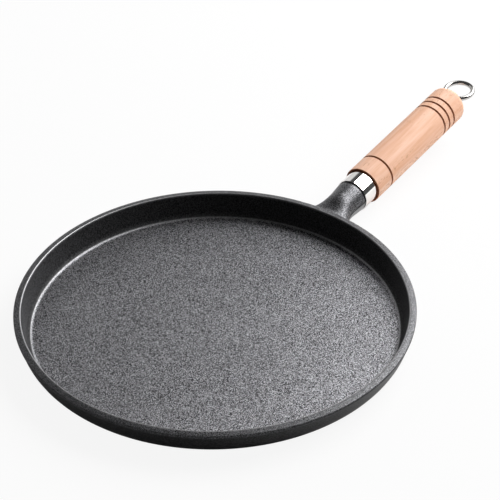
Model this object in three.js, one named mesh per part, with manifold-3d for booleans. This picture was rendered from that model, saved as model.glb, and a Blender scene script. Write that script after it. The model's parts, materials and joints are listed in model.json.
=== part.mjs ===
// Cast-iron pancake pan with a turned wooden handle, in millimetres, +Z up.
// The origin is the centre of the flat base and the handle points along +X.
import * as THREE from 'three';
import { mergeVertices } from 'three/addons/utils/BufferGeometryUtils.js';
import Module from 'manifold-3d';

const wasm = await Module();
wasm.setup();

// Pan bowl
const panRadius = 130;
const panHeight = 20.3;
const floorThickness = 3.5;
const rimWidth = 4.6;
const rimOuterRounding = 1.8;
const rimInnerRounding = 0.6;
const rimLip = 0.5;
const rimLipHeight = 3.2;
const innerWallLean = THREE.MathUtils.degToRad(13.5);
const outerWallLean = THREE.MathUtils.degToRad(16);
const floorFilletRadius = 4.5;
const baseCornerRadius = 14;

// Handle axis: it crosses the rim circle this far under the rim's top, and rises from there
const handleTilt = THREE.MathUtils.degToRad(5);
const axisBelowRim = 7.85;

// Cast neck, measured along the handle axis from the rim circle
const neckLength = 29.3;
const neckRadius = 10.3;
const neckEndStep = 0.7;
const neckFlareLength = 14;
const rootFilletRadius = 21;
const rootTopBelowRim = 0.8;
const rootBottomAboveBase = 2.2;
const rootReach = 12;
const partingRidgeHeight = 0.5;
const partingRidgeThickness = 1.4;

// Spigot and tapped hole at the neck's end
const spigotRoot = 2;
const spigotSetback = 5.1;
const spigotChamfer = 1;
const tappedHoleRunout = 8;

// Steel ferrule between neck and wood
const ferruleRadius = 12.3;
const ferruleWall = 0.8;
const ferruleShowing = 13.3;
const ferruleInWood = 8;
const ferruleEdgeRounding = 0.3;

// Turned wooden handle
const woodLength = 116.7;
const woodShoulder = 1.55;
const woodFrontChamfer = 0.6;
const woodEndRounding = 5;
const grooveWidth = 1.4;
const grooveDepth = 0.8;
const grooveFloorWidth = 0.5;
const frontGrooveInset = 17.3;
const lastGrooveInset = 16.6;
const backGrooveSpacing = 6.3;
const backGrooveCount = 3;

// Tie rod, washer and hanging ring
const threadRadius = 4;
const threadHeight = 0.4;
const threadEngagement = 10;
const rodEndChamfer = 0.8;
const collarOverhang = 1.4;
const collarThickness = 1.1;
const collarRounding = 0.3;
const washerOverhang = 2.6;
const washerThickness = 1;
const stubStep = 0.1;
const stubLength = 0.9;
const ringRadius = 11.9;
const ringWireRadius = 1.75;
const ringSideOffset = 1.9;

// Clearances
const seatGap = 0.3;
const slideGap = 0.3;
const boreGap = 0.7;
const weldGap = 0.2;

// Facets round each turned piece
const bowlSegments = 64;
const turnedSegments = 32;
const smallSegments = 20;
const wireSegments = 10;
const neckRows = 18;
const arcPoints = 3;
const mergeTolerance = 1e-4;

// Radii that follow from what they fit
const neckEndRadius = ferruleRadius - neckEndStep;
const spigotRadius = ferruleRadius - ferruleWall - slideGap;
const woodRadius = ferruleRadius + woodShoulder;
const shankRadius = threadRadius - threadHeight;
const collarRadius = threadRadius + collarOverhang;
const washerRadius = collarRadius + washerOverhang;
const stubRadius = ringWireRadius - stubStep;

// Stations along the handle axis, from the rim circle outwards
const shoulderStation = neckLength;
const ferruleStart = shoulderStation + seatGap;
const woodStart = ferruleStart + ferruleShowing;
const ferruleEnd = woodStart + ferruleInWood;
const spigotEnd = ferruleEnd - spigotSetback;
const woodEnd = woodStart + woodLength;
const washerStart = woodEnd + seatGap;
const collarStart = washerStart + washerThickness + seatGap;
const collarEnd = collarStart + collarThickness;
const ringCentre = collarEnd + stubLength + ringRadius;
const axisHeight = panHeight - axisBelowRim;

const handleFrame = new THREE.Matrix4()
  .makeTranslation(panRadius, 0, axisHeight)
  .multiply(new THREE.Matrix4().makeRotationY(-handleTilt));

// A closed three.js geometry as a solid for cutting and joining
function toSolid(geometry) {
  const bare = geometry.clone();
  bare.deleteAttribute('normal');
  bare.deleteAttribute('uv');
  const merged = mergeVertices(bare, mergeTolerance);
  return new wasm.Manifold(new wasm.Mesh({
    numProp: 3,
    vertProperties: new Float32Array(merged.attributes.position.array),
    triVerts: new Uint32Array(merged.index.array),
  }));
}

function toGeometry(solid) {
  const mesh = solid.getMesh();
  const geometry = new THREE.BufferGeometry();
  geometry.setAttribute('position', new THREE.BufferAttribute(mesh.vertProperties, 3));
  geometry.setIndex(new THREE.BufferAttribute(mesh.triVerts, 1));
  geometry.computeVertexNormals();
  return geometry;
}

// Turned solid about +Z from a path of (radius, height) that runs up the outside
function turned(path, segments) {
  const points = path.getPoints(arcPoints);
  const geometry = new THREE.LatheGeometry(points, segments);
  geometry.rotateX(Math.PI / 2);
  return geometry;
}

// The same solid about +X, for pieces on the handle axis
function turnedAlongHandle(path, segments) {
  const geometry = turned(path, segments);
  geometry.rotateY(Math.PI / 2);
  return geometry;
}

function material(color, roughness, metalness) {
  return new THREE.MeshStandardMaterial({ color, roughness, metalness });
}

function piece(name, geometry, look) {
  const mesh = new THREE.Mesh(geometry, look);
  mesh.name = name;
  return mesh;
}

// Radius of the leaning outer wall at a height between the base's corner and the rim's lip
function outerWallRadius(height) {
  const lipBottom = panHeight - rimLipHeight;
  return panRadius - rimLip - (lipBottom - height) * Math.tan(outerWallLean);
}

// Full outside of the bowl, still solid inside
function bowlOutside() {
  const lean = outerWallLean;
  const lipBottom = panHeight - rimLipHeight;
  const cornerRadius = Math.min(baseCornerRadius, lipBottom / (1 - Math.sin(lean)) - rimLip);
  const cornerCentre = outerWallRadius(cornerRadius) - cornerRadius / Math.cos(lean);
  const edgeCentre = panRadius - rimOuterRounding;
  const path = new THREE.Path();
  path.moveTo(0, 0);
  path.lineTo(cornerCentre, 0);
  path.absarc(cornerCentre, cornerRadius, cornerRadius, -Math.PI / 2, -lean, false);
  path.lineTo(panRadius - rimLip, lipBottom);
  path.lineTo(panRadius, lipBottom + rimLip);
  path.lineTo(panRadius, panHeight - rimOuterRounding);
  path.absarc(edgeCentre, panHeight - rimOuterRounding, rimOuterRounding, 0, Math.PI / 2, false);
  path.lineTo(0, panHeight);
  return toSolid(turned(path, bowlSegments));
}

// Cooking space: flat floor, fillet, leaning wall and the rounded inner edge of the rim
function bowlInside() {
  const rimInner = panRadius - rimWidth;
  const lean = innerWallLean;
  const edgeCentreRadius = rimInner + rimInnerRounding;
  const edgeCentreHeight = panHeight - rimInnerRounding;
  const edgeStart = new THREE.Vector2(
    edgeCentreRadius - rimInnerRounding * Math.cos(lean),
    edgeCentreHeight + rimInnerRounding * Math.sin(lean),
  );
  const filletHeight = floorThickness + floorFilletRadius;
  const wallDrop = edgeStart.y - (filletHeight - floorFilletRadius * Math.sin(lean));
  const filletWallRadius = edgeStart.x - wallDrop * Math.tan(lean);
  const filletCentre = filletWallRadius - floorFilletRadius * Math.cos(lean);
  const path = new THREE.Path();
  path.moveTo(0, floorThickness);
  path.lineTo(filletCentre, floorThickness);
  path.absarc(filletCentre, filletHeight, floorFilletRadius, -Math.PI / 2, -lean, false);
  path.lineTo(edgeStart.x, edgeStart.y);
  path.absarc(edgeCentreRadius, edgeCentreHeight, rimInnerRounding, Math.PI - lean, Math.PI / 2, true);
  path.lineTo(edgeCentreRadius, panHeight + rimWidth);
  path.lineTo(0, panHeight + rimWidth);
  return toSolid(turned(path, bowlSegments));
}

// Cast neck: round at the ferrule, spreading into a wide flat root where it meets the wall
function castNeck() {
  const start = -rootReach;
  const roundFrom = neckLength - neckFlareLength;
  const filletReach = outerWallRadius(axisHeight) + rootFilletRadius;
  const filletCentre = Math.sqrt(filletReach ** 2 - (neckRadius + rootFilletRadius) ** 2);
  const filletStation = filletCentre - panRadius;
  const filletSpan = (filletCentre * rootFilletRadius) / filletReach;
  const rootTop = axisBelowRim - rootTopBelowRim;
  const rootBottom = axisHeight - rootBottomAboveBase;
  const tube = new THREE.CylinderGeometry(1, 1, 1, turnedSegments, neckRows);
  tube.rotateZ(-Math.PI / 2);
  tube.translate(0.5, 0, 0);
  const points = tube.attributes.position;
  for (let i = 0; i < points.count; i += 1) {
    const along = THREE.MathUtils.lerp(start, neckLength, points.getX(i));
    const endFlare = THREE.MathUtils.smoothstep(along, roundFrom, neckLength);
    const radius = THREE.MathUtils.lerp(neckRadius, neckEndRadius, endFlare);
    const intoFillet = THREE.MathUtils.clamp(filletStation - along, 0, filletSpan);
    const widening = rootFilletRadius - Math.sqrt(rootFilletRadius ** 2 - intoFillet ** 2);
    const rootShare = 1 - THREE.MathUtils.smoothstep(along, 0, filletStation);
    const top = THREE.MathUtils.lerp(radius, rootTop, rootShare);
    const bottom = THREE.MathUtils.lerp(radius, rootBottom, rootShare);
    const across = points.getY(i);
    const upward = points.getZ(i);
    points.setXYZ(i, along, across * (radius + widening), upward * (upward > 0 ? top : bottom));
  }
  tube.applyMatrix4(handleFrame);
  return toSolid(tube);
}

// Low ridge that the two mould halves leave along both sides of the neck
function partingRidge() {
  const length = neckLength - neckFlareLength;
  const width = 2 * (neckRadius + partingRidgeHeight);
  const ridge = new THREE.BoxGeometry(length, width, partingRidgeThickness);
  ridge.translate(length / 2, 0, 0);
  ridge.applyMatrix4(handleFrame);
  return toSolid(ridge);
}

// Round spigot that fills the ferrule, rooted a little way inside the neck
function spigot() {
  const spigotStart = shoulderStation - spigotRoot;
  const path = new THREE.Path();
  path.moveTo(0, spigotStart);
  path.lineTo(spigotRadius, spigotStart);
  path.lineTo(spigotRadius, spigotEnd - spigotChamfer);
  path.lineTo(spigotRadius - spigotChamfer, spigotEnd);
  path.lineTo(0, spigotEnd);
  const geometry = turnedAlongHandle(path, turnedSegments);
  geometry.applyMatrix4(handleFrame);
  return toSolid(geometry);
}

function tappedHole() {
  const radius = threadRadius + slideGap;
  const depth = threadEngagement + tappedHoleRunout;
  const geometry = new THREE.CylinderGeometry(radius, radius, 2 * depth, smallSegments);
  geometry.rotateZ(-Math.PI / 2);
  geometry.translate(spigotEnd, 0, 0);
  geometry.applyMatrix4(handleFrame);
  return toSolid(geometry);
}

// One iron casting: bowl, rim, neck and spigot
function panBody() {
  const casting = bowlOutside().add(castNeck()).add(partingRidge()).add(spigot());
  return toGeometry(casting.subtract(bowlInside()).subtract(tappedHole()));
}

// Thin steel tube, slipped over the spigot and let into the wood
function ferrule() {
  const inner = ferruleRadius - ferruleWall;
  const path = new THREE.Path();
  path.moveTo(inner, ferruleStart);
  path.lineTo(ferruleRadius - ferruleEdgeRounding, ferruleStart);
  path.lineTo(ferruleRadius, ferruleStart + ferruleEdgeRounding);
  path.lineTo(ferruleRadius, ferruleEnd);
  path.lineTo(inner, ferruleEnd);
  path.closePath();
  return turnedAlongHandle(path, turnedSegments);
}

// One groove cut round the wood, centred at a station
function addGroove(path, station) {
  path.lineTo(woodRadius, station - grooveWidth / 2);
  path.lineTo(woodRadius - grooveDepth, station - grooveFloorWidth / 2);
  path.lineTo(woodRadius - grooveDepth, station + grooveFloorWidth / 2);
  path.lineTo(woodRadius, station + grooveWidth / 2);
}

// Turned handle, bored through for the rod and counterbored for the ferrule
function woodenHandle() {
  const bore = threadRadius + boreGap;
  const seat = ferruleRadius + slideGap;
  const seatBottom = ferruleEnd + seatGap;
  const path = new THREE.Path();
  path.moveTo(seat, woodStart);
  path.lineTo(woodRadius - woodFrontChamfer, woodStart);
  path.lineTo(woodRadius, woodStart + woodFrontChamfer);
  addGroove(path, woodStart + frontGrooveInset);
  for (let k = backGrooveCount - 1; k >= 0; k -= 1) {
    addGroove(path, woodEnd - lastGrooveInset - k * backGrooveSpacing);
  }
  path.lineTo(woodRadius, woodEnd - woodEndRounding);
  path.absarc(woodRadius - woodEndRounding, woodEnd - woodEndRounding, woodEndRounding, 0, Math.PI / 2, false);
  path.lineTo(bore, woodEnd);
  path.lineTo(bore, seatBottom);
  path.lineTo(seat, seatBottom);
  path.closePath();
  return turnedAlongHandle(path, turnedSegments);
}

function endWasher() {
  const inner = threadRadius + slideGap;
  const path = new THREE.Path();
  path.moveTo(inner, washerStart);
  path.lineTo(washerRadius, washerStart);
  path.lineTo(washerRadius, washerStart + washerThickness);
  path.lineTo(inner, washerStart + washerThickness);
  path.closePath();
  return turnedAlongHandle(path, turnedSegments);
}

// Closed wire ring in the plane of the handle axis, its centre set off to one side
function wireRing(wireRadius) {
  const ring = new THREE.TorusGeometry(ringRadius - ringWireRadius, wireRadius, wireSegments, turnedSegments);
  ring.translate(ringCentre, ringSideOffset, 0);
  return ring;
}

// Rod from the tapped hole through the wood to its collar, with a short stub under the ring
function tieRod() {
  const threadStart = spigotEnd - threadEngagement;
  const path = new THREE.Path();
  path.moveTo(0, threadStart);
  path.lineTo(threadRadius - rodEndChamfer, threadStart);
  path.lineTo(threadRadius, threadStart + rodEndChamfer);
  path.lineTo(threadRadius, spigotEnd);
  path.lineTo(shankRadius, spigotEnd + threadHeight);
  path.lineTo(shankRadius, collarStart);
  path.lineTo(collarRadius - collarRounding, collarStart);
  path.lineTo(collarRadius, collarStart + collarRounding);
  path.lineTo(collarRadius, collarEnd - collarRounding);
  path.lineTo(collarRadius - collarRounding, collarEnd);
  path.lineTo(stubRadius, collarEnd);
  path.lineTo(stubRadius, collarEnd + stubLength + ringWireRadius);
  path.lineTo(0, collarEnd + stubLength + ringWireRadius);
  const rod = toSolid(turnedAlongHandle(path, smallSegments));
  return toGeometry(rod.subtract(toSolid(wireRing(ringWireRadius + weldGap))));
}

const castIron = material(0x3b3c3e, 0.62, 0.55);
const polishedSteel = material(0xd9d8d5, 0.16, 1);
const plainSteel = material(0xb9b9b8, 0.35, 1);
const beech = material(0xf2c6a8, 0.6, 0);

const handle = new THREE.Group();
handle.position.set(panRadius, 0, axisHeight);
handle.rotation.y = -handleTilt;
handle.add(piece('ferrule', ferrule(), polishedSteel.clone()));
handle.add(piece('wooden_handle', woodenHandle(), beech));
handle.add(piece('end_washer', endWasher(), plainSteel.clone()));
handle.add(piece('tie_rod', tieRod(), plainSteel));
handle.add(piece('hanging_ring', wireRing(ringWireRadius), polishedSteel));

const pan = new THREE.Group();
pan.add(piece('pan_body', panBody(), castIron));
pan.add(handle);

export default pan;
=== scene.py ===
import json
import math

import bmesh
import bpy
import numpy as np
from mathutils import Euler, Matrix, Vector


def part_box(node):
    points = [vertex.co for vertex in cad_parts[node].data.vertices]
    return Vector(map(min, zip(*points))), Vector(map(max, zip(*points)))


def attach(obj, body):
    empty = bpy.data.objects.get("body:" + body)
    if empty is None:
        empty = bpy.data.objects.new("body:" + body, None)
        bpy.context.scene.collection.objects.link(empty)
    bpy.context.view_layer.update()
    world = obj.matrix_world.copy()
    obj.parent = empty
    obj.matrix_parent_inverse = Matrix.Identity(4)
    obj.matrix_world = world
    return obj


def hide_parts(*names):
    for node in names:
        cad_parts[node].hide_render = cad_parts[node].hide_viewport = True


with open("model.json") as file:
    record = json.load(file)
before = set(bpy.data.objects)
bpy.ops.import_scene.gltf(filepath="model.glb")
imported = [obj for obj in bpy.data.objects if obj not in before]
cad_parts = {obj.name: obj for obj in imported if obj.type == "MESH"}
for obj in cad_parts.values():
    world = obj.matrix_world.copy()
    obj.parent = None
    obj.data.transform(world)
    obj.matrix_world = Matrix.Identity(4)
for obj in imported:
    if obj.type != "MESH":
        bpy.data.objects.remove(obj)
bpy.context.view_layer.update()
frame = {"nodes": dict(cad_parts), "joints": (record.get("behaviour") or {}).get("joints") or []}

# Handle axis and pan radius, read from the frame
JOINTS = {joint["name"]: joint for joint in frame["joints"]}
AXIS = Vector(JOINTS["bolt_turn"]["axis"]).normalized()
AXIS_POINT = Vector(JOINTS["bolt_turn"]["pos_m"])
PAN_RADIUS = -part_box("pan_body")[0].x
HANDLE_TILT = math.asin(AXIS.z)
AXIS_HEIGHT = AXIS_POINT.z - (AXIS_POINT.x - PAN_RADIUS) * math.tan(HANDLE_TILT)
HANDLE_FRAME = Matrix.Translation((PAN_RADIUS, 0, AXIS_HEIGHT)) @ Matrix.Rotation(-HANDLE_TILT, 4, "Y")
TURNED_FRAME = HANDLE_FRAME @ Matrix.Rotation(math.pi / 2, 4, "Y")

# Bowl section, in metres
PAN_HEIGHT = 0.0203
FLOOR_THICKNESS = 0.0035
RIM_WIDTH = 0.0046
RIM_SLOPE_DROP = 0.0008
RIM_CROWN_WIDTH = 0.0014
RIM_CROWN_ROUNDING = 0.005
RIM_OUTER_ROUNDING = 0.0006
RIM_INNER_ROUNDING = 0.0007
RIM_LIP = 0.0005
RIM_LIP_HEIGHT = 0.0030
LIP_FOOT_ROUNDING = 0.0012
LIP_EDGE_ROUNDING = 0.0006
LIP_BOTTOM = PAN_HEIGHT - RIM_LIP_HEIGHT
INNER_WALL_LEAN = math.radians(13.5)
OUTER_WALL_LEAN = math.radians(16)
FLOOR_FILLET = 0.0045
BASE_CORNER = 0.014
BOWL_SEGMENTS = 512
BOWL_ARC_STEPS = 10
WALL_STEP = 0.0006
TOP_TOLERANCE = 1e-7

# Cast neck, along the handle axis from the rim circle
SEAT_GAP = 0.0003
NECK_RADIUS = 0.0108
NECK_END_STEP = 0.0006
NECK_FLARE_LENGTH = 0.014
NECK_END_ROUNDING = 0.0004
RELIEF_WIDTH = 0.0008
RELIEF_RADIUS = 0.0104
NECK_STEPS = 28
ROOT_FILLET = 0.021
ROOT_BELOW_RIM = 0.0008
ROOT_ABOVE_BASE = 0.0022
ROOT_TOP = PAN_HEIGHT - AXIS_HEIGHT - ROOT_BELOW_RIM
ROOT_BOTTOM = AXIS_HEIGHT - ROOT_ABOVE_BASE
ROOT_REACH = 0.012
ROOT_HALF_ANGLE = math.radians(15)
ROOT_MARGIN = 0.003
CREASE_ROUNDING = 0.0018
CREASE_STEPS = 8
WALL_RINGS = 5
WALL_SEARCH_STEPS = 40
RIDGE_HEIGHT = 0.0006
RIDGE_WIDTH = 0.0006

# How grainy the mould left the iron, where the pan's floor is 1, and the height over which that fades
WALL_SAND = 0.05
RIM_SAND = 0.30
NECK_SAND = 0.40
SAND_EDGE = 0.2 * FLOOR_FILLET

# How far the iron is burnished, where 1 is bare metal: real burnish on the rim top and outside, painted
# highlights on the rim's inner edge and floor fillet, and a painted reflection of the floor under the
# neck
PAINTED_RIM_EDGE_HIGHLIGHT = 0.7
PAINTED_FILLET_HIGHLIGHT = 0.3
PAINTED_UNDER_NECK_REFLECTION = 0.55
RIM_TOP_SHINE = 0.04
OUTSIDE_SHINE = 0.03

# Noise cells per metre in the iron, the steel and the wood
GRAIN_SCALE = 2400
SKIN_SCALE = 1100
CLOUD_SCALE = 40
MARK_SCALE = 60
SMEAR_SCALE = 160
STREAK_SCALE = 260
BAND_SCALE = 70
FLECK_SCALE = 1000
CHAR_SCALE = 900

# Spigot and tapped hole inside the ferrule
FERRULE_WALL = 0.0008
FERRULE_EDGE = 0.4 * FERRULE_WALL
SLIDE_GAP = 0.0003
SPIGOT_SETBACK = 0.0051
SPIGOT_CHAMFER = 0.001
HOLE_DEPTH = 0.018
HOLE_TIP = 0.0025

# Turned wood
WOOD_FRONT_ROUNDING = 0.0006
WOOD_END_ROUNDING = 0.005
GROOVE_WIDTH = 0.0019
GROOVE_DEPTH = 0.0008
GROOVE_FLOOR_ROUNDING = 0.00035
GROOVE_EDGE_ROUNDING = 0.0002
FRONT_GROOVE_INSET = 0.0173
LAST_GROOVE_INSET = 0.0166
BACK_GROOVE_SPACING = 0.0063
BACK_GROOVE_COUNT = 3
BORE_GAP = 0.0007
WOOD_ARC_STEPS = 8
BURN_REACH = 0.6 * GROOVE_WIDTH
FULL_BURN_DEPTH = GROOVE_DEPTH / 8
FRONT_BURN = 0.55
FRONT_BURN_INSET = 0.2 * WOOD_FRONT_ROUNDING

# Rod, washer and ring
THREAD_RADIUS = 0.004
THREAD_HEIGHT = 0.0004
THREAD_PITCH = 0.00125
THREAD_LENGTH = 0.010
THREAD_STEPS = 12
COLLAR_ROUNDING = 0.0003
WASHER_EDGE_SHARE = 0.25
RING_WIRE_RADIUS = 0.00175
RING_STEPS = 160
WIRE_STEPS = 40
WELD_RADIUS = 0.0023
WELD_SPREAD = 0.16
STUB_LENGTH = 0.0009
TURNED_SEGMENTS = 128

# Photo camera, fitted to the rim, floor and handle outlines
PHOTO_SIZE = 500
FOCAL_PIXELS = 2050
RIM_CENTRE_PIXEL = (215.1, 302.9)
CAMERA_DISTANCE = 1.3243
CAMERA_ELEVATION = math.radians(37.43)
CAMERA_ROLL = math.radians(-1.17)
HANDLE_AZIMUTH = math.radians(52.53)
SENSOR_WIDTH = 36
PHOTO_TO_PART = Matrix.Rotation(-HANDLE_AZIMUTH, 4, "Z")

# Studio: half the floor's width in metres, and levels where 1 is white
FLOOR_HALF = 4.0
FLOOR_GREY = 0.9
FLOOR_GLOW_SEEN = 0.9
ROOM_LEVEL = 0.08

# Patches of backdrop, each with its level and then in degrees: azimuth, elevation, half width,
# and the elevations where its fade starts and ends
BACKDROPS = [(0.72, 126, 14, 33, 40, 46), (1.1, 60, 8, 40, 20, 26)]

# Half width of a patch's soft edge, as a difference of cosines
BACKDROP_EDGE = 0.05

# Key lamp in the photo's frame, with x to the right, y away and z up, in metres and watts
KEY_PLACE = (0.905, 0.64, 0.92)
KEY_TARGET = (0.19, 0.04, 0.016)
KEY_WIDTH = 1.34
KEY_HEIGHT = 1.0
KEY_POWER = 27.8


# Mesh helpers

def smoothstep(value, low, high):
    share = min(max((value - low) / (high - low), 0), 1)
    return share * share * (3 - 2 * share)


def lerp(first, second, share):
    return first + (second - first) * share


def rounded(corners, steps=6):
    """Points along a path of (radius, along, rounding) corners, each rounded by an arc."""
    points = []
    for i, (x, y, rounding) in enumerate(corners):
        here = np.array((x, y))
        if rounding == 0:
            points.append(here)
            continue
        before = np.array(corners[i - 1][:2]) - here
        after = np.array(corners[(i + 1) % len(corners)][:2]) - here
        before /= np.linalg.norm(before)
        after /= np.linalg.norm(after)
        half = math.acos(np.clip(before @ after, -1, 1)) / 2
        bisector = (before + after) / np.linalg.norm(before + after)
        centre = here + bisector * rounding / math.sin(half)
        first = here + before * rounding / math.tan(half) - centre
        last = here + after * rounding / math.tan(half) - centre
        sweep = math.pi - 2 * half
        for share in np.linspace(0, 1, steps + 1):
            arm = first * math.sin((1 - share) * sweep) + last * math.sin(share * sweep)
            points.append(centre + arm / math.sin(sweep))
    return points


def with_short_steps(points, longest):
    """The same path with extra points, so that no step off the axis is longer than this."""
    filled = [points[0]]
    for a, b in zip(points, points[1:]):
        parts = 1
        if min(a[0], b[0]) > 0:
            parts = max(1, math.ceil(np.linalg.norm(b - a) / longest))
        filled.extend(lerp(a, b, k / parts) for k in range(1, parts + 1))
    return filled


class Shell:
    """Vertices and faces of one closed mesh, built ring by ring."""

    def __init__(self):
        self.vertices = []
        self.faces = []

    def ring(self, points):
        first = len(self.vertices)
        self.vertices.extend(Vector(point) for point in points)
        return list(range(first, len(self.vertices)))

    def circle(self, radius, along, segments=TURNED_SEGMENTS):
        """Ring about the local Z axis, or a single pole where the radius is 0."""
        if radius == 0:
            return self.ring([(0, 0, along)])
        angles = [2 * math.pi * j / segments for j in range(segments)]
        return self.ring([(radius * math.cos(a), radius * math.sin(a), along) for a in angles])

    def strips(self, ring, following):
        """Faces between two rings, where either may be a single pole."""
        count = max(len(ring), len(following))
        made = []
        for j in range(count):
            k = (j + 1) % count
            a = [ring[j % len(ring)], ring[k % len(ring)]]
            b = [following[k % len(following)], following[j % len(following)]]
            made.append(list(dict.fromkeys(a + b)))
        return made

    def join(self, rings):
        for ring, following in zip(rings, rings[1:]):
            self.faces.extend(self.strips(ring, following))

    def piece(self, name, material, place=Matrix.Identity(4)):
        """A smooth object with its normals out and its flats kept flat."""
        mesh = bpy.data.meshes.new(name)
        mesh.from_pydata(self.vertices, [], self.faces)
        shape = bmesh.new()
        shape.from_mesh(mesh)
        bmesh.ops.recalc_face_normals(shape, faces=shape.faces)
        shape.to_mesh(mesh)
        shape.free()
        mesh.polygons.foreach_set("use_smooth", [True] * len(mesh.polygons))
        mesh.materials.append(material)
        made = bpy.data.objects.new(name, mesh)
        bpy.context.scene.collection.objects.link(made)
        made.matrix_world = place
        made.modifiers.new("flats", "WEIGHTED_NORMAL")
        return made


def turned_piece(name, profile, material):
    """A closed piece turned about the handle axis from (radius, station) points."""
    shell = Shell()
    rings = [shell.circle(radius, along) for radius, along in profile]
    shell.join(rings + rings[:1])
    return shell.piece(name, material, TURNED_FRAME)


def point_attribute(piece, name, values):
    layer = piece.data.attributes.new(name, "FLOAT", "POINT")
    layer.data.foreach_set("value", np.asarray(values, np.float32))


def dress(piece, body, node):
    """Put a piece on its body in place of its CAD node."""
    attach(piece, body)
    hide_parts(node)


def stations(node):
    """Start and end of a CAD node along the handle axis, and its largest radius about it."""
    to_handle = HANDLE_FRAME.inverted()
    points = [to_handle @ vertex.co for vertex in frame["nodes"][node].data.vertices]
    along = [point.x for point in points]
    return min(along), max(along), max(math.hypot(point.y, point.z) for point in points)


FERRULE_START, FERRULE_END, FERRULE_RADIUS = stations("ferrule")
WOOD_START, WOOD_END, WOOD_RADIUS = stations("wooden_handle")
WASHER_START, WASHER_END, WASHER_RADIUS = stations("end_washer")
ROD_START, _, COLLAR_RADIUS = stations("tie_rod")
RING_START, RING_END, _ = stations("hanging_ring")
SHOULDER = FERRULE_START - SEAT_GAP
NECK_END_RADIUS = FERRULE_RADIUS - NECK_END_STEP


# Material helpers

class Nodes:
    """Short calls for building one material's node tree."""

    def __init__(self, name):
        self.material = bpy.data.materials.new(name)
        self.material.use_nodes = True
        self.tree = self.material.node_tree
        self.shader = self.tree.nodes["Principled BSDF"]

    def add(self, kind, **settings):
        node = self.tree.nodes.new(kind)
        for key, value in settings.items():
            setattr(node, key, value)
        return node

    def feed(self, socket, value):
        """Link an output to a socket, or set a plain number or colour on it."""
        if isinstance(value, bpy.types.NodeSocket):
            self.tree.links.new(value, socket)
        elif isinstance(value, tuple):
            socket.default_value = value + (1,)
        else:
            socket.default_value = value

    def set(self, **values):
        """Feed the shader's sockets, named with underscores for spaces."""
        for name, value in values.items():
            self.feed(self.shader.inputs[name.replace("_", " ")], value)

    def position(self, stretch=(1, 1, 1)):
        """Object coordinates, stretched along each axis."""
        place = self.add("ShaderNodeTexCoord")
        mapping = self.add("ShaderNodeMapping")
        mapping.inputs["Scale"].default_value = stretch
        self.feed(mapping.inputs["Vector"], place.outputs["Object"])
        return mapping.outputs["Vector"]

    def noise(self, vector, scale, detail=2.0, roughness=0.5, distortion=0.0):
        node = self.add("ShaderNodeTexNoise")
        node.inputs["Scale"].default_value = scale
        node.inputs["Detail"].default_value = detail
        node.inputs["Roughness"].default_value = roughness
        node.inputs["Distortion"].default_value = distortion
        self.feed(node.inputs["Vector"], vector)
        return node.outputs["Fac"]

    def attribute(self, name):
        return self.add("ShaderNodeAttribute", attribute_name=name).outputs["Fac"]

    def ramp(self, factor, stops):
        """Colour ramp from (position, colour) stops, where a plain number is a grey."""
        node = self.add("ShaderNodeValToRGB")
        while len(node.color_ramp.elements) < len(stops):
            node.color_ramp.elements.new(0.5)
        for element, (position, colour) in zip(node.color_ramp.elements, stops):
            element.position = position
            grey = isinstance(colour, (int, float))
            element.color = (colour,) * 3 + (1,) if grey else tuple(colour) + (1,)
        self.feed(node.inputs["Fac"], factor)
        return node.outputs["Color"]

    def mix(self, factor, first, second, mode="MIX"):
        node = self.add("ShaderNodeMix", data_type="RGBA", blend_type=mode)
        # The colour sockets of this node come after its number and vector sockets
        self.feed(node.inputs[0], factor)
        self.feed(node.inputs[6], first)
        self.feed(node.inputs[7], second)
        return node.outputs[2]

    def math(self, operation, first, second):
        node = self.add("ShaderNodeMath", operation=operation)
        self.feed(node.inputs[0], first)
        self.feed(node.inputs[1], second)
        return node.outputs["Value"]

    def bump(self, height, strength, distance, normal=None):
        node = self.add("ShaderNodeBump")
        node.inputs["Distance"].default_value = distance
        self.feed(node.inputs["Strength"], strength)
        self.feed(node.inputs["Height"], height)
        if normal is not None:
            self.feed(node.inputs["Normal"], normal)
        return node.outputs["Normal"]


def cast_iron():
    """Cast iron: dark on the walls, grainy where the mould was rough, pale where it is burnished and
    where highlights and a floor reflection are painted into the colour.
    """
    nodes = Nodes("cast_iron")
    place = nodes.position()
    sand = nodes.attribute("sand")
    burnish_and_painted_light = nodes.attribute("burnish_and_painted_light")
    grain = nodes.noise(place, GRAIN_SCALE, detail=0)
    cloud = nodes.noise(place, CLOUD_SCALE, detail=3, roughness=0.55)
    sandy = nodes.ramp(grain, [(0.42, (0.01, 0.01, 0.011)), (0.70, (0.69, 0.69, 0.725))])
    pits = nodes.noise(place, SKIN_SCALE, detail=1)
    skin = nodes.ramp(pits, [(0.38, 0.0), (0.64, (0.042, 0.042, 0.044))])
    body = nodes.mix(sand, skin, sandy)
    body = nodes.mix(1.0, body, nodes.ramp(cloud, [(0.3, 0.95), (0.7, 1.04)]), "MULTIPLY")
    # Burnish and painted highlights mix the base colour towards pale grey
    nodes.set(Base_Color=nodes.mix(burnish_and_painted_light, body, (0.50, 0.50, 0.51)))
    nodes.set(Metallic=nodes.ramp(sand, [(0.0, 0.3), (0.3, 0.95)]))
    nodes.set(IOR=1.36)
    rough = nodes.ramp(sand, [(0.0, 0.34), (0.05, 0.6), (0.3, 0.49), (0.4, 0.42), (1.0, 0.41)])
    nodes.set(Roughness=nodes.mix(burnish_and_painted_light, rough, (0.40, 0.40, 0.40)))
    relief = nodes.math("MULTIPLY", sand, 0.14)
    nodes.set(Normal=nodes.bump(grain, strength=relief, distance=0.0005))
    return nodes.material


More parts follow.
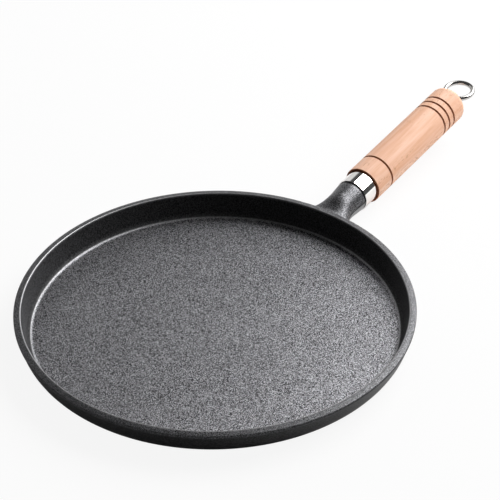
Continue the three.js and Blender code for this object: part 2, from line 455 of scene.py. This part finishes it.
def bright_metal(name, roughness, tint, squeeze):
    """Bright steel with slight smears, and faint marks that a squeeze turns into rings."""
    nodes = Nodes(name)
    marks = nodes.noise(nodes.position((1, 1, squeeze)), MARK_SCALE)
    smears = nodes.noise(nodes.position(), SMEAR_SCALE, detail=3, roughness=0.55)
    worn = nodes.math("MULTIPLY", marks, smears)
    nodes.set(Roughness=nodes.ramp(worn, [(0.1, roughness), (0.5, roughness * 2.2)]))
    shade = tuple(0.93 * c for c in tint)
    nodes.set(Base_Color=nodes.ramp(smears, [(0.3, tint), (0.75, shade)]))
    nodes.set(Metallic=1.0)
    nodes.set(Normal=nodes.bump(marks, strength=0.008, distance=0.0001))
    return nodes.material


def beech():
    """Turned beech: pale pink-brown, streaks along the grain, short dark flecks, burnt grooves."""
    nodes = Nodes("beech")
    along_grain = nodes.position((1, 1, 0.06))
    streaks = nodes.noise(along_grain, STREAK_SCALE, detail=4, roughness=0.6, distortion=0.4)
    bands = nodes.noise(nodes.position((1, 1, 0.12)), BAND_SCALE, detail=3, distortion=0.8)
    flecks = nodes.noise(nodes.position((1, 1, 0.3)), FLECK_SCALE, detail=1, roughness=0.4)
    char = nodes.noise(nodes.position(), CHAR_SCALE, roughness=0.6)
    tones = [(0.3, (0.80, 0.44, 0.27)), (0.5, (0.88, 0.53, 0.365)), (0.7, (0.93, 0.61, 0.45))]
    wood = nodes.ramp(streaks, tones)
    broad = nodes.ramp(bands, [(0.35, (0.93, 0.87, 0.83)), (0.65, (1.0, 1.0, 1.0))])
    wood = nodes.mix(1.0, wood, broad, "MULTIPLY")
    patches = nodes.ramp(bands, [(0.45, 0.0), (0.6, 1.0)])
    specks = nodes.math("MULTIPLY", nodes.ramp(flecks, [(0.58, 0.0), (0.66, 0.85)]), patches)
    wood = nodes.mix(specks, wood, (0.55, 0.27, 0.15))
    burn = nodes.math("MULTIPLY", nodes.attribute("burn"), nodes.ramp(char, [(0.2, 0.75), (0.6, 1.0)]))
    scorch = [(0.0, (0.60, 0.28, 0.13)), (0.5, (0.30, 0.085, 0.026)), (1.0, (0.20, 0.050, 0.013))]
    charred = nodes.ramp(burn, scorch)
    nodes.set(Base_Color=nodes.mix(nodes.ramp(burn, [(0.05, 0.0), (0.45, 1.0)]), wood, charred))
    sanded = nodes.ramp(streaks, [(0.3, 0.58), (0.7, 0.46)])
    nodes.set(Roughness=nodes.mix(burn, sanded, (0.9, 0.9, 0.9)))
    pores = nodes.bump(flecks, strength=0.12, distance=0.0002)
    nodes.set(Normal=nodes.bump(streaks, strength=0.08, distance=0.0003, normal=pores))
    return nodes.material


# Cast pan: bowl, rim and neck in one mesh

def bowl_profile():
    """Section of the bowl from the middle of the base, over the rim, to the middle of the floor."""
    wall_foot = PAN_RADIUS - RIM_LIP - LIP_BOTTOM * math.tan(OUTER_WALL_LEAN)
    rim_inner = PAN_RADIUS - RIM_WIDTH
    floor_edge = rim_inner - (PAN_HEIGHT - FLOOR_THICKNESS) * math.tan(INNER_WALL_LEAN)
    corners = [
        (0, 0, 0),
        (wall_foot, 0, BASE_CORNER),
        (PAN_RADIUS - RIM_LIP, LIP_BOTTOM, LIP_FOOT_ROUNDING),
        (PAN_RADIUS, LIP_BOTTOM + RIM_LIP, LIP_EDGE_ROUNDING),
        (PAN_RADIUS, PAN_HEIGHT - RIM_SLOPE_DROP, RIM_OUTER_ROUNDING),
        (rim_inner + RIM_CROWN_WIDTH, PAN_HEIGHT, RIM_CROWN_ROUNDING),
        (rim_inner, PAN_HEIGHT, RIM_INNER_ROUNDING),
        (floor_edge, FLOOR_THICKNESS, FLOOR_FILLET),
        (0, FLOOR_THICKNESS, 0),
    ]
    return with_short_steps(rounded(corners, BOWL_ARC_STEPS), WALL_STEP)


class Wall:
    """Outer surface of the bowl, by length along its section and by angle round the pan."""

    def __init__(self, profile):
        self.radii = np.array([point[0] for point in profile])
        self.heights = np.array([point[1] for point in profile])
        steps = np.hypot(np.diff(self.radii), np.diff(self.heights))
        self.lengths = np.concatenate(([0], np.cumsum(steps)))
        self.top_row = int(np.argmax(self.heights > PAN_HEIGHT - TOP_TOLERANCE))

    def length_at(self, height):
        return np.interp(height, self.heights[1:self.top_row + 1], self.lengths[1:self.top_row + 1])

    def point(self, length, turn):
        radius = np.interp(length, self.lengths, self.radii)
        height = np.interp(length, self.lengths, self.heights)
        return Vector((radius * math.cos(turn), radius * math.sin(turn), height))

    def holds(self, point):
        """Whether a point under the rim's top lies inside the bowl's outer surface."""
        wall_radius = np.interp(self.length_at(point.z), self.lengths, self.radii)
        return math.hypot(point.x, point.y) < wall_radius


# Side fillets of the neck touch the wall and the neck's straight side
WALL_AT_AXIS = PAN_RADIUS - RIM_LIP - (LIP_BOTTOM - AXIS_HEIGHT) * math.tan(OUTER_WALL_LEAN)
FILLET_REACH = WALL_AT_AXIS + ROOT_FILLET
FILLET_CENTRE = math.sqrt(FILLET_REACH ** 2 - (NECK_RADIUS + ROOT_FILLET) ** 2)
FILLET_STATION = FILLET_CENTRE - PAN_RADIUS
FILLET_SPAN = FILLET_CENTRE * ROOT_FILLET / FILLET_REACH


def neck_point(along, angle):
    """Point on the neck at a station and an angle, counted from the side upwards."""
    flare = smoothstep(along, SHOULDER - NECK_FLARE_LENGTH, SHOULDER)
    radius = lerp(NECK_RADIUS, NECK_END_RADIUS, flare)
    into_fillet = min(max(FILLET_STATION - along, 0), FILLET_SPAN)
    widening = ROOT_FILLET - math.sqrt(ROOT_FILLET ** 2 - into_fillet ** 2)
    past_root = smoothstep(along, 0, FILLET_STATION)
    upward = math.sin(angle)
    reach = lerp(radius, ROOT_TOP if upward > 0 else ROOT_BOTTOM, 1 - past_root)
    across = math.cos(angle) * (radius + widening)
    ridge = math.exp(-(upward * reach / RIDGE_WIDTH) ** 2) * (1 - flare) * past_root
    across += math.copysign(RIDGE_HEIGHT * ridge, across)
    return HANDLE_FRAME @ Vector((along, across, upward * reach))


def wall_station(wall, angle):
    """Station where the neck's surface at this angle goes into the wall."""
    inside = -ROOT_REACH
    outside = FILLET_STATION
    for _ in range(WALL_SEARCH_STEPS):
        middle = (inside + outside) / 2
        if wall.holds(neck_point(middle, angle)):
            inside = middle
        else:
            outside = middle
    return outside


def neck_end_profile():
    """Turned end of the casting: relief groove in front of the ferrule, spigot and tapped hole."""
    spigot_radius = FERRULE_RADIUS - FERRULE_WALL - SLIDE_GAP
    spigot_end = FERRULE_END - SPIGOT_SETBACK
    hole_radius = THREAD_RADIUS + SLIDE_GAP
    hole_bottom = spigot_end - HOLE_DEPTH
    return rounded([
        (NECK_END_RADIUS, SHOULDER - NECK_FLARE_LENGTH, 0),
        (NECK_END_RADIUS, SHOULDER - RELIEF_WIDTH, NECK_END_ROUNDING),
        (RELIEF_RADIUS, SHOULDER - RELIEF_WIDTH, SEAT_GAP / 2),
        (RELIEF_RADIUS, SHOULDER, SEAT_GAP / 2),
        (spigot_radius, SHOULDER, SEAT_GAP / 2),
        (spigot_radius, spigot_end, SPIGOT_CHAMFER),
        (hole_radius, spigot_end, SEAT_GAP),
        (hole_radius, hole_bottom, 0),
        (0, hole_bottom - HOLE_TIP, 0),
    ])[1:]


def add_neck(shell, wall, loop):
    """Neck that grows out of a hole in the wall, whose edge is a loop of (vertex, length, turn)."""
    lengths = [length for _, length, _ in loop]
    middle = wall.length_at(AXIS_HEIGHT)
    widest = max(turn for _, _, turn in loop)
    angles = []
    hits = []
    for _, length, turn in loop:
        span = max(lengths) - middle if length > middle else middle - min(lengths)
        angles.append(math.atan2((length - middle) / span, turn / widest))
        hits.append(wall_station(wall, angles[-1]))

    rings = [[vertex for vertex, _, _ in loop]]
    corners = [neck_point(hit, angle) for hit, angle in zip(hits, angles)]
    edges = []
    for corner in corners:
        length = wall.length_at(corner.z)
        turn = math.atan2(corner.y, corner.x)
        away = Vector((length - middle, turn * PAN_RADIUS)).normalized() * CREASE_ROUNDING
        edges.append((length + away.x, turn + away.y / PAN_RADIUS))
    for k in range(1, WALL_RINGS + 1):
        share = k / WALL_RINGS
        points = []
        for (_, length, turn), (edge_length, edge_turn) in zip(loop, edges):
            points.append(wall.point(lerp(length, edge_length, share), lerp(turn, edge_turn, share)))
        rings.append(shell.ring(points))
    starts = [wall.point(*edge) for edge in edges]
    ends = [neck_point(hit + CREASE_ROUNDING, angle) for hit, angle in zip(hits, angles)]
    for k in range(1, CREASE_STEPS + 1):
        share = k / CREASE_STEPS
        trios = zip(starts, corners, ends)
        curve = [lerp(lerp(a, b, share), lerp(b, c, share), share) for a, b, c in trios]
        rings.append(shell.ring(curve))
    barrel_end = SHOULDER - RELIEF_WIDTH - NECK_END_ROUNDING
    for k in range(1, NECK_STEPS):
        share = k / NECK_STEPS
        points = []
        for hit, angle in zip(hits, angles):
            points.append(neck_point(lerp(hit + CREASE_ROUNDING, barrel_end, share), angle))
        rings.append(shell.ring(points))
    for radius, along in neck_end_profile():
        turned = angles if radius > 0 else angles[:1]
        ring = [Vector((along, radius * math.cos(a), radius * math.sin(a))) for a in turned]
        rings.append(shell.ring([HANDLE_FRAME @ point for point in ring]))
    shell.join(rings)


def sand_burnish_and_painted_light(vertices, inner_vertices):
    """How rough the mould left each point, and how pale its colour is made: burnish on the rim top and
    outside, painted highlights and a painted floor reflection elsewhere.
    """
    edge_radius = PAN_RADIUS - RIM_WIDTH
    sand = []
    burnish_and_painted_light = []
    for index, (x, y, z) in enumerate(vertices):
        radius = math.hypot(x, y)
        inside = index in inner_vertices
        floor = 1 - smoothstep(z, FLOOR_THICKNESS, FLOOR_THICKNESS + SAND_EDGE)
        top = smoothstep(z, PAN_HEIGHT - 2 * RIM_SLOPE_DROP, PAN_HEIGHT - RIM_SLOPE_DROP)
        wall = lerp(WALL_SAND, 1, floor) if inside else 0
        level = AXIS_HEIGHT + (x - PAN_RADIUS) * math.tan(HANDLE_TILT)
        on_neck = smoothstep(radius, PAN_RADIUS - RIM_LIP, PAN_RADIUS + RIM_LIP)
        # upper starts at the ridge and lower stops short of it, so the ridge's lower half gets neither
        # grain nor burnish: a painted dark line of shade
        upper = smoothstep(z, level, level + 2 * RIDGE_WIDTH)
        # Below the parting line the colour is lightened as a painted reflection of the white floor
        lower = 1 - smoothstep(z, level - 2 * RIDGE_WIDTH, level - RIDGE_WIDTH)
        sand.append(max(wall, RIM_SAND * top, NECK_SAND * on_neck * upper))
        # Painted highlight: a pale band round the rim's inner edge
        from_edge = math.hypot(radius - edge_radius, z - PAN_HEIGHT)
        rim_edge = math.exp(-(from_edge / RIM_INNER_ROUNDING) ** 2)
        # Painted highlight: a pale line along the floor fillet
        fillet = 4 * floor * (1 - floor) if inside else 0
        outside = 0 if inside else 1 - on_neck
        burnish_and_painted_light.append(max(
            PAINTED_RIM_EDGE_HIGHLIGHT * rim_edge,
            PAINTED_FILLET_HIGHLIGHT * fillet,
            PAINTED_UNDER_NECK_REFLECTION * on_neck * lower,
            RIM_TOP_SHINE * top,
            OUTSIDE_SHINE * outside,
        ))
    return sand, burnish_and_painted_light


def cast_pan(material):
    shell = Shell()
    profile = bowl_profile()
    wall = Wall(profile)
    rings = [shell.circle(radius, height, BOWL_SEGMENTS) for radius, height in profile]
    lowest = wall.length_at(neck_point(0, -math.pi / 2).z) - ROOT_MARGIN
    highest = wall.length_at(neck_point(0, math.pi / 2).z) + ROOT_MARGIN
    low_row = int(np.searchsorted(wall.lengths, lowest))
    high_row = int(np.searchsorted(wall.lengths, highest))
    column_angle = 2 * math.pi / BOWL_SEGMENTS
    half_columns = round(ROOT_HALF_ANGLE / column_angle)
    for i, (ring, following) in enumerate(zip(rings, rings[1:])):
        strips = shell.strips(ring, following)
        if low_row <= i < high_row:
            strips = strips[half_columns:BOWL_SEGMENTS - half_columns]
        shell.faces.extend(strips)
    columns = range(-half_columns, half_columns)
    rows = range(low_row, high_row)
    loop = [(low_row, j) for j in columns]
    loop += [(i, half_columns) for i in rows]
    loop += [(high_row, -j) for j in columns]
    loop += [(low_row + high_row - i, -half_columns) for i in rows]
    add_neck(shell, wall, [(rings[i][j], wall.lengths[i], j * column_angle) for i, j in loop])
    pan = shell.piece("cast_pan", material)
    inner_vertices = range(rings[wall.top_row][0], rings[-1][-1] + 1)
    sand, burnish_and_painted_light = sand_burnish_and_painted_light(shell.vertices, inner_vertices)
    point_attribute(pan, "sand", sand)
    point_attribute(pan, "burnish_and_painted_light", burnish_and_painted_light)
    dress(pan, "pan", "pan_body")


# Pieces on the handle axis

def tube_profile(start, end, inner, outer, edge):
    return rounded([(inner, start, edge), (outer, start, edge), (outer, end, edge), (inner, end, edge)])


def ferrule(material):
    bore = FERRULE_RADIUS - FERRULE_WALL
    profile = tube_profile(FERRULE_START, FERRULE_END, bore, FERRULE_RADIUS, FERRULE_EDGE)
    dress(turned_piece("polished_ferrule", profile, material), "pan", "ferrule")


def wooden_handle(material):
    last_groove = WOOD_END - LAST_GROOVE_INSET
    grooves = [last_groove - k * BACK_GROOVE_SPACING for k in range(BACK_GROOVE_COUNT)]
    grooves.append(WOOD_START + FRONT_GROOVE_INSET)
    seat = FERRULE_RADIUS + SLIDE_GAP
    seat_bottom = FERRULE_END + SEAT_GAP
    bore = THREAD_RADIUS + BORE_GAP
    corners = [(seat, WOOD_START, 0), (WOOD_RADIUS, WOOD_START, WOOD_FRONT_ROUNDING)]
    for centre in sorted(grooves):
        corners.append((WOOD_RADIUS, centre - GROOVE_WIDTH / 2, GROOVE_EDGE_ROUNDING))
        corners.append((WOOD_RADIUS - GROOVE_DEPTH, centre, GROOVE_FLOOR_ROUNDING))
        corners.append((WOOD_RADIUS, centre + GROOVE_WIDTH / 2, GROOVE_EDGE_ROUNDING))
    corners.append((WOOD_RADIUS, WOOD_END, WOOD_END_ROUNDING))
    corners += [(bore, WOOD_END, 0), (bore, seat_bottom, 0), (seat, seat_bottom, 0)]
    piece = turned_piece("beech_handle", rounded(corners, WOOD_ARC_STEPS), material)
    burn = []
    for vertex in piece.data.vertices:
        depth = WOOD_RADIUS - math.hypot(vertex.co.x, vertex.co.y)
        along = vertex.co.z
        in_groove = any(abs(along - centre) < BURN_REACH for centre in grooves)
        groove = min(max(depth / FULL_BURN_DEPTH, 0), 1) if in_groove else 0
        front = 1 - smoothstep(along - WOOD_START, FRONT_BURN_INSET, WOOD_FRONT_ROUNDING)
        burn.append(max(FRONT_BURN * front, groove))
    point_attribute(piece, "burn", burn)
    dress(piece, "pan", "wooden_handle")


def end_washer(material):
    edge = WASHER_EDGE_SHARE * (WASHER_END - WASHER_START)
    profile = tube_profile(WASHER_START, WASHER_END, THREAD_RADIUS + SLIDE_GAP, WASHER_RADIUS, edge)
    dress(turned_piece("steel_washer", profile, material), "washer", "end_washer")


def tie_rod(material):
    """Rod with a cut thread at one end and a collar and stub at the other."""
    collar_start = WASHER_END + SEAT_GAP
    collar_end = RING_START - STUB_LENGTH
    thread_end = ROD_START + THREAD_LENGTH
    run_out_end = thread_end + THREAD_PITCH
    shank = THREAD_RADIUS - THREAD_HEIGHT
    shell = Shell()
    rings = [shell.circle(0, ROD_START)]
    count = round((run_out_end - ROD_START) / THREAD_PITCH * THREAD_STEPS)
    for step in range(count):
        along = lerp(ROD_START, run_out_end, step / count)
        height = smoothstep(along, ROD_START, ROD_START + THREAD_PITCH) * THREAD_HEIGHT
        height *= 1 - smoothstep(along, thread_end, run_out_end)
        points = []
        for j in range(TURNED_SEGMENTS):
            share = j / TURNED_SEGMENTS
            phase = ((along - ROD_START) / THREAD_PITCH - share) % 1
            reach = shank + height * (1 - abs(2 * phase - 1))
            angle = 2 * math.pi * share
            points.append((reach * math.cos(angle), reach * math.sin(angle), along))
        rings.append(shell.ring(points))
    head = rounded([
        (shank, run_out_end, 0),
        (shank, collar_start, COLLAR_ROUNDING / 2),
        (COLLAR_RADIUS, collar_start, COLLAR_ROUNDING),
        (COLLAR_RADIUS, collar_end, COLLAR_ROUNDING),
        (RING_WIRE_RADIUS, collar_end, COLLAR_ROUNDING / 2),
        (RING_WIRE_RADIUS, RING_START, 0),
        (0, RING_START, 0),
    ])
    rings += [shell.circle(radius, along) for radius, along in head]
    shell.join(rings)
    dress(shell.piece("threaded_rod", material, TURNED_FRAME), "eye_bolt", "tie_rod")


def hanging_ring(material):
    """Wire ring, thickened by a weld bead where it meets the rod's stub."""
    low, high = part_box("hanging_ring")
    side_offset = (low.y + high.y) / 2
    middle = (RING_START + RING_END) / 2
    bend = (RING_END - RING_START) / 2 - RING_WIRE_RADIUS
    shell = Shell()
    rings = []
    for i in range(RING_STEPS):
        turn = 2 * math.pi * i / RING_STEPS
        from_weld = math.remainder(turn - math.pi, 2 * math.pi)
        wire = lerp(RING_WIRE_RADIUS, WELD_RADIUS, math.exp(-(from_weld / WELD_SPREAD) ** 2))
        points = []
        for j in range(WIRE_STEPS):
            roll = 2 * math.pi * j / WIRE_STEPS
            reach = bend + wire * math.cos(roll)
            across = side_offset + reach * math.sin(turn)
            points.append((middle + reach * math.cos(turn), across, wire * math.sin(roll)))
        rings.append(shell.ring(points))
    shell.join(rings + rings[:1])
    ring = shell.piece("wire_ring", material, HANDLE_FRAME)
    dress(ring, "eye_bolt", "hanging_ring")


# Studio: floor, world, lamp and camera

def studio_floor():
    """Pale paper that glows a little where it is seen, so that it reads as white under the shadow."""
    mesh = bpy.data.meshes.new("floor")
    corners = [(-1, -1), (1, -1), (1, 1), (-1, 1)]
    mesh.from_pydata([(x * FLOOR_HALF, y * FLOOR_HALF, 0) for x, y in corners], [], [(0, 1, 2, 3)])
    floor = bpy.data.objects.new("floor", mesh)
    bpy.context.scene.collection.objects.link(floor)
    nodes = Nodes("floor_paper")
    mesh.materials.append(nodes.material)
    nodes.tree.nodes.remove(nodes.shader)
    paper = nodes.add("ShaderNodeBsdfDiffuse")
    paper.inputs["Color"].default_value = (FLOOR_GREY, FLOOR_GREY, FLOOR_GREY, 1)
    glow = nodes.add("ShaderNodeEmission")
    path = nodes.add("ShaderNodeLightPath")
    blend = nodes.add("ShaderNodeMixShader")
    seen = nodes.math("MULTIPLY", path.outputs["Is Camera Ray"], FLOOR_GLOW_SEEN)
    nodes.feed(blend.inputs["Fac"], seen)
    nodes.feed(blend.inputs[1], paper.outputs["BSDF"])
    nodes.feed(blend.inputs[2], glow.outputs["Emission"])
    nodes.feed(nodes.tree.nodes["Material Output"].inputs["Surface"], blend.outputs["Shader"])


def studio_world():
    """White for the camera. Mirrors see pale backdrops at the left and low behind, and a dim room."""
    world = bpy.data.worlds.new("studio")
    bpy.context.scene.world = world
    world.use_nodes = True
    tree = world.node_tree

    def add(kind, **settings):
        node = tree.nodes.new(kind)
        for key, value in settings.items():
            setattr(node, key, value)
        return node

    def fade(source, low, high, at_low, at_high):
        node = add("ShaderNodeMapRange", interpolation_type="SMOOTHSTEP")
        limits = {"From Min": low, "From Max": high, "To Min": at_low, "To Max": at_high}
        for name, value in limits.items():
            node.inputs[name].default_value = value
        tree.links.new(source, node.inputs["Value"])
        return node.outputs["Result"]

    def combine(operation, first, second):
        node = add("ShaderNodeMath", operation=operation)
        tree.links.new(first, node.inputs[0])
        tree.links.new(second, node.inputs[1])
        return node.outputs["Value"]

    place = add("ShaderNodeTexCoord").outputs["Generated"]
    parts = add("ShaderNodeSeparateXYZ")
    tree.links.new(place, parts.inputs["Vector"])

    def patch(level, azimuth, elevation, spread, fade_start, fade_end):
        """Light from a round patch that fades out towards its top."""
        turn = Euler((0, -math.radians(elevation), math.radians(azimuth)))
        facing = turn.to_matrix() @ Vector((1, 0, 0))
        towards = add("ShaderNodeVectorMath", operation="DOT_PRODUCT")
        towards.inputs[1].default_value = PHOTO_TO_PART @ facing
        tree.links.new(place, towards.inputs[0])
        edge = math.cos(math.radians(spread))
        inside = fade(towards.outputs["Value"], edge - BACKDROP_EDGE, edge + BACKDROP_EDGE, 0, level)
        heights = [math.sin(math.radians(angle)) for angle in (fade_start, fade_end)]
        under_top = fade(parts.outputs["Z"], *heights, 1, 0)
        return combine("MULTIPLY", inside, under_top)

    room = combine("MAXIMUM", *[patch(*backdrop) for backdrop in BACKDROPS])
    path = add("ShaderNodeLightPath")
    dim = add("ShaderNodeMath", operation="MAXIMUM")
    tree.links.new(room, dim.inputs[0])
    dim.inputs[1].default_value = ROOM_LEVEL
    strength = add("ShaderNodeMix", data_type="FLOAT")
    tree.links.new(path.outputs["Is Camera Ray"], strength.inputs[0])
    tree.links.new(dim.outputs["Value"], strength.inputs[2])
    strength.inputs[3].default_value = 1.0
    background = tree.nodes["Background"]
    background.inputs["Color"].default_value = (1, 1, 1, 1)
    tree.links.new(strength.outputs[0], background.inputs["Strength"])


def soft_box(name, place, target, width, height, power):
    """Rectangular lamp, placed and aimed in the photo's frame: x right, y away, z up."""
    lamp = bpy.data.lights.new(name, "AREA")
    lamp.shape = "RECTANGLE"
    lamp.size = width
    lamp.size_y = height
    lamp.energy = power
    holder = bpy.data.objects.new(name, lamp)
    bpy.context.scene.collection.objects.link(holder)
    facing = (Vector(target) - Vector(place)).to_track_quat("-Z", "Y").to_matrix().to_4x4()
    holder.matrix_world = PHOTO_TO_PART @ Matrix.Translation(place) @ facing


def photo_camera():
    data = bpy.data.cameras.new("camera")
    data.sensor_width = SENSOR_WIDTH
    data.lens = FOCAL_PIXELS * SENSOR_WIDTH / PHOTO_SIZE
    offset = [(pixel - PHOTO_SIZE / 2) / FOCAL_PIXELS for pixel in RIM_CENTRE_PIXEL]
    aim = Vector((*offset, 1)).normalized()
    rise = math.sin(CAMERA_ELEVATION)
    level = math.cos(CAMERA_ELEVATION)
    # Rows: right, down and forward of a level camera in the photo's frame
    facing = Matrix(((1, 0, 0), (0, -rise, -level), (0, level, -rise)))
    roll = Matrix.Rotation(CAMERA_ROLL, 3, "Z")
    swing = Vector((0, 0, 1)).rotation_difference(aim).to_matrix()
    part_to_photo = Matrix.Rotation(HANDLE_AZIMUTH, 3, "Z")
    to_camera = swing @ roll @ facing @ part_to_photo
    place = Vector((0, 0, PAN_HEIGHT)) - to_camera.transposed() @ (aim * CAMERA_DISTANCE)
    turn = to_camera.transposed() @ Matrix.Diagonal((1, -1, -1))
    camera = bpy.data.objects.new("camera", data)
    camera.matrix_world = Matrix.Translation(place) @ turn.to_4x4()
    bpy.context.scene.collection.objects.link(camera)
    bpy.context.scene.camera = camera


polished = bright_metal("polished_steel", roughness=0.05, tint=(0.92, 0.90, 0.88), squeeze=90)
wire = bright_metal("ring_wire", roughness=0.05, tint=(0.50, 0.485, 0.47), squeeze=1)
drawn = bright_metal("plain_steel", roughness=0.16, tint=(0.66, 0.66, 0.65), squeeze=90)
cast_pan(cast_iron())
ferrule(polished)
wooden_handle(beech())
end_washer(drawn)
tie_rod(drawn)
hanging_ring(wire)

studio_floor()
studio_world()
soft_box("key", KEY_PLACE, KEY_TARGET, KEY_WIDTH, KEY_HEIGHT, KEY_POWER)
photo_camera()
bpy.context.scene.view_settings.view_transform = "Standard"
